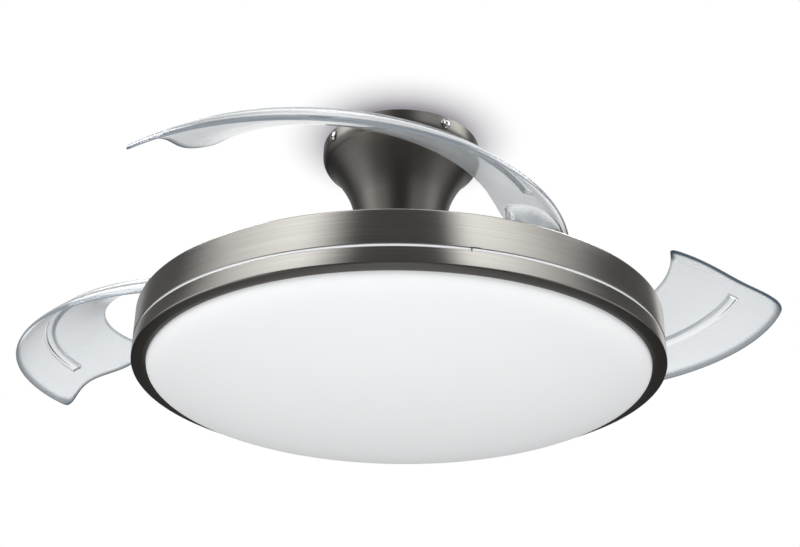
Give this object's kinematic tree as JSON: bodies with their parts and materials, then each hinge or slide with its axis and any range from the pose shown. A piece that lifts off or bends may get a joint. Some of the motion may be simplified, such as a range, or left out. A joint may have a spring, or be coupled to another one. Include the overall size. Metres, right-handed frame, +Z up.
{
  "type": "retractable blade ceiling fan with light",
  "caption": "Ceiling fan with a round lamp drum, a flared canopy and clear blades that fold back over the drum, each on its own pivot.",
  "frame": {"origin": "centre of the ceiling face of the mounting plate, on the axis of the drum", "axes": "+Z up into the ceiling, -Y towards the side seen in the picture, +X to its right"},
  "size_m": [0.801, 0.6362, 0.298],
  "materials": {
    "nickel": "horizontally brushed satin nickel",
    "dark_nickel": "darker brushed satin nickel",
    "steel": "zinc plated sheet and turned steel",
    "chrome": "polished",
    "clear": "clear, faintly blue, polished",
    "opal": "opal, satin",
    "white": "white moulded",
    "grey": "grey moulded",
    "copper": "enamelled copper windings",
    "iron": "dark laminations and magnets",
    "brass": "turned",
    "spring": "spring wire"
  },
  "bodies": {
    "base": {"mounting_plate": "steel", "hanger_cup": "steel", "hanger_shaft": "steel", "clevis_pin": "steel", "receiver": "white", "terminal_block": "grey", "canopy": "dark_nickel", "canopy_screw_1": "chrome", "canopy_screw_2": "chrome", "canopy_screw_3": "chrome", "canopy_screw_4": "chrome", "stator_core": "iron", "coil_ring_upper": "copper", "coil_ring_lower": "copper", "bearing_inner_upper": "steel", "bearing_inner_lower": "steel", "pan_collar": "steel", "lamp_pan": "nickel", "pan_nut": "brass", "seam_ring": "white", "lock_ring": "white", "led_board": "white", "led_lens_inner": "opal", "led_lens_outer": "opal", "led_driver": "white"},
    "rotor": {"rotor_upper": "dark_nickel", "rotor_lower": "dark_nickel", "magnet_ring": "iron", "bearing_outer_upper": "steel", "bearing_outer_lower": "steel", "blade_carrier": "dark_nickel", "carrier_screw_1": "steel", "carrier_screw_2": "steel", "carrier_screw_3": "steel", "pivot_post_1": "steel", "pivot_post_2": "steel", "pivot_post_3": "steel", "pivot_nut_1": "steel", "pivot_nut_2": "steel", "pivot_nut_3": "steel", "stop_pin_1": "steel", "stop_pin_2": "steel", "stop_pin_3": "steel", "return_spring_1": "spring", "return_spring_2": "spring", "return_spring_3": "spring"},
    "blade_near": {"blade_1": "clear", "hub_plate_1": "steel", "hub_screw_1_1": "steel", "hub_screw_1_2": "steel"},
    "blade_right": {"blade_2": "clear", "hub_plate_2": "steel", "hub_screw_2_1": "steel", "hub_screw_2_2": "steel"},
    "blade_left": {"blade_3": "clear", "hub_plate_3": "steel", "hub_screw_3_1": "steel", "hub_screw_3_2": "steel"},
    "light_cover": {"trim_ring": "dark_nickel", "diffuser": "opal"}
  },
  "joints": [
    {"name": "rotor_spin", "type": "hinge", "parent": "base", "child": "rotor", "pos_m": [0, 0, -0.174], "axis": [0, 0, 1], "continuous": true},
    {"name": "blade_near_swing", "type": "hinge", "parent": "rotor", "child": "blade_near", "pos_m": [0.11805, -0.15896, -0.19], "axis": [0, 0, 1], "range_deg": [-36, 64], "deforming": ["return_spring_1"]},
    {"name": "blade_right_swing", "type": "hinge", "parent": "rotor", "child": "blade_right", "pos_m": [0.07864, 0.18171, -0.19], "axis": [0, 0, 1], "range_deg": [-37, 63], "deforming": ["return_spring_2"]},
    {"name": "blade_left_swing", "type": "hinge", "parent": "rotor", "child": "blade_left", "pos_m": [-0.19669, -0.02276, -0.19], "axis": [0, 0, 1], "range_deg": [-76, 24], "deforming": ["return_spring_3"]},
    {"name": "cover_twist", "type": "hinge", "parent": "base", "child": "light_cover", "pos_m": [0, 0, -0.25], "axis": [0, 0, 1], "range_deg": [0, 20]}
  ]
}
